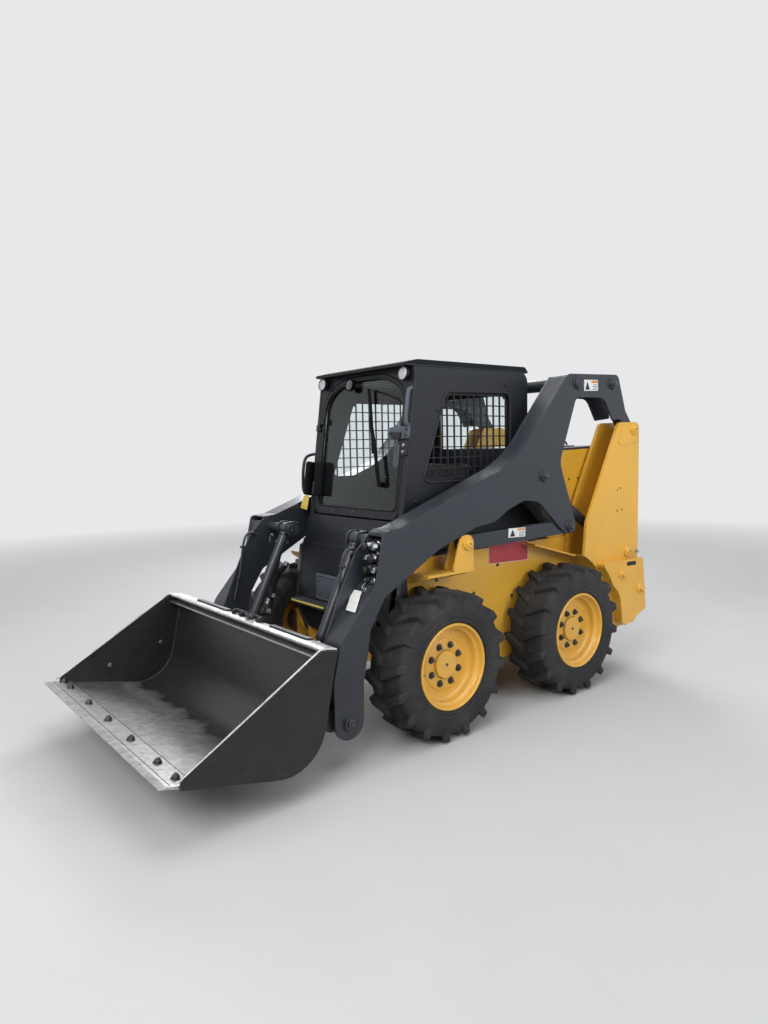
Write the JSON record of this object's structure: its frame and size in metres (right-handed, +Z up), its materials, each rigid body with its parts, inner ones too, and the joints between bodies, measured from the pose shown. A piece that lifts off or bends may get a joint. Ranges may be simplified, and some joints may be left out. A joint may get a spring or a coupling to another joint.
{
  "type": "skid steer loader",
  "caption": "Skid steer loader with an enclosed cab, mesh side windows, vertical-lift arms, solid-looking lugged tyres and a low dirt bucket on a quick-attach carrier",
  "frame": {"origin": "on the ground, under the middle of the whole machine with its bucket", "axes": "+X towards the bucket, +Y to the machine's left, +Z up"},
  "size_m": [3.4564, 1.644, 1.9595],
  "materials": {
    "yellow_paint": "semi-gloss paint",
    "charcoal_paint": "satin paint",
    "black_paint": "satin paint, worn on the floor",
    "tyre_rubber": "matte rubber",
    "glass": "tinted",
    "lamp": "clear lens",
    "rod_chrome": "polished",
    "bare_steel": "worn",
    "seat_vinyl": "vinyl",
    "black_plastic": "moulded",
    "engine_iron": "plain block"
  },
  "bodies": {
    "chassis": {"main_frame": "yellow_paint", "tower_left": "yellow_paint", "tower_right": "yellow_paint", "counterweight_left": "yellow_paint", "counterweight_right": "yellow_paint", "engine_block": "engine_iron", "side_panel_left": "yellow_paint", "side_panel_right": "yellow_paint", "cab_frame": "charcoal_paint", "cab_roof": "charcoal_paint", "side_guard_left": "charcoal_paint", "side_guard_right": "charcoal_paint", "rear_window": "glass", "seat": "seat_vinyl", "console_left": "black_plastic", "console_right": "black_plastic", "lap_bar": "charcoal_paint", "front_step": "yellow_paint", "roof_lamp_left": "lamp", "roof_lamp_right": "lamp"},
    "wheel_front_left": {"tyre_front_left": "tyre_rubber", "rim_front_left": "yellow_paint"},
    "wheel_front_right": {"tyre_front_right": "tyre_rubber", "rim_front_right": "yellow_paint"},
    "wheel_rear_left": {"tyre_rear_left": "tyre_rubber", "rim_rear_left": "yellow_paint"},
    "wheel_rear_right": {"tyre_rear_right": "tyre_rubber", "rim_rear_right": "yellow_paint"},
    "control_links": {"control_link_left": "charcoal_paint", "control_link_right": "charcoal_paint"},
    "boom": {"boom": "charcoal_paint", "coupler_block": "bare_steel"},
    "rear_links": {"rear_link_left": "charcoal_paint", "rear_link_right": "charcoal_paint"},
    "lift_barrels": {"lift_barrel_left": "charcoal_paint", "lift_barrel_right": "charcoal_paint"},
    "lift_rods": {"lift_rod_left": "rod_chrome", "lift_rod_right": "rod_chrome"},
    "tilt_barrels": {"tilt_barrel_left": "charcoal_paint", "tilt_barrel_right": "charcoal_paint"},
    "tilt_rods": {"tilt_rod_left": "rod_chrome", "tilt_rod_right": "rod_chrome"},
    "bucket": {"quick_attach": "charcoal_paint", "bucket_shell": "black_paint", "cutting_edge": "bare_steel"},
    "cab_door": {"cab_door": "charcoal_paint", "door_glass": "glass", "wiper": "black_plastic"},
    "rear_door": {"rear_door": "charcoal_paint"},
    "engine_hood": {"engine_hood": "yellow_paint"}
  },
  "joints": [
    {"name": "wheel_front_left_spin", "type": "hinge", "parent": "chassis", "child": "wheel_front_left", "pos_m": [0.177, 0.648, 0.386], "axis": [0, 1, 0], "continuous": true},
    {"name": "wheel_front_right_spin", "type": "hinge", "parent": "chassis", "child": "wheel_front_right", "pos_m": [0.177, -0.648, 0.386], "axis": [0, 1, 0], "continuous": true},
    {"name": "wheel_rear_left_spin", "type": "hinge", "parent": "chassis", "child": "wheel_rear_left", "pos_m": [-0.868, 0.648, 0.386], "axis": [0, 1, 0], "continuous": true},
    {"name": "wheel_rear_right_spin", "type": "hinge", "parent": "chassis", "child": "wheel_rear_right", "pos_m": [-0.868, -0.648, 0.386], "axis": [0, 1, 0], "continuous": true},
    {"name": "boom_lift", "type": "hinge", "parent": "control_links", "child": "boom", "pos_m": [-0.919, 0, 0.995], "axis": [0, -1, 0], "range_deg": [0, 134.07]},
    {"name": "control_link_swing", "type": "hinge", "parent": "chassis", "child": "control_links", "pos_m": [-0.039, 0, 0.981], "axis": [0, 1, 0], "range_deg": [0, 70.09]},
    {"name": "rear_link_swing", "type": "hinge", "parent": "chassis", "child": "rear_links", "pos_m": [-1.589, 0, 1.579], "axis": [0, 1, 0], "range_deg": [0, 12.63]},
    {"name": "lift_barrel_swing", "type": "hinge", "parent": "chassis", "child": "lift_barrels", "pos_m": [-1.529, 0, 0.782], "axis": [0, -1, 0], "range_deg": [0, 21.81]},
    {"name": "lift_rod_slide", "type": "slide", "parent": "lift_barrels", "child": "lift_rods", "axis": [0.8499, 0, 0.5269], "range_m": [0, 0.72195]},
    {"name": "bucket_tilt", "type": "hinge", "parent": "boom", "child": "bucket", "pos_m": [0.752, 0, 0.215], "axis": [0, 1, 0], "range_deg": [-15, 117]},
    {"name": "tilt_barrel_swing", "type": "hinge", "parent": "boom", "child": "tilt_barrels", "pos_m": [0.452, 0, 1.03], "axis": [0, -1, 0], "range_deg": [-0.46, 3.41]},
    {"name": "tilt_rod_slide", "type": "slide", "parent": "tilt_barrels", "child": "tilt_rods", "axis": [0.4441, 0, -0.896], "range_m": [-0.0524, 0.40738]},
    {"name": "cab_door_hinge", "type": "hinge", "parent": "chassis", "child": "cab_door", "pos_m": [0.23473, -0.403, 1.10692], "axis": [0.1375, 0, -0.9905], "range_deg": [0, 85]},
    {"name": "rear_door_hinge", "type": "hinge", "parent": "chassis", "child": "rear_door", "pos_m": [-1.69, -0.486, 0.96], "axis": [0, 0, 1], "range_deg": [0, 90]},
    {"name": "engine_hood_hinge", "type": "hinge", "parent": "chassis", "child": "engine_hood", "pos_m": [-0.92, 0, 1.466], "axis": [0, 1, 0], "range_deg": [0, 45]}
  ],
  "couplings": [
    {"joint": "control_link_swing", "follows": "boom_lift", "ratio": 0.52265},
    {"joint": "rear_link_swing", "follows": "boom_lift", "ratio": 0.094044},
    {"joint": "lift_barrel_swing", "follows": "boom_lift", "ratio": 0.16249},
    {"joint": "lift_rod_slide", "follows": "boom_lift", "m_per_rad": 0.30844},
    {"joint": "tilt_barrel_swing", "follows": "bucket_tilt", "ratio": 0.029011},
    {"joint": "tilt_rod_slide", "follows": "bucket_tilt", "m_per_rad": 0.1994}
  ]
}
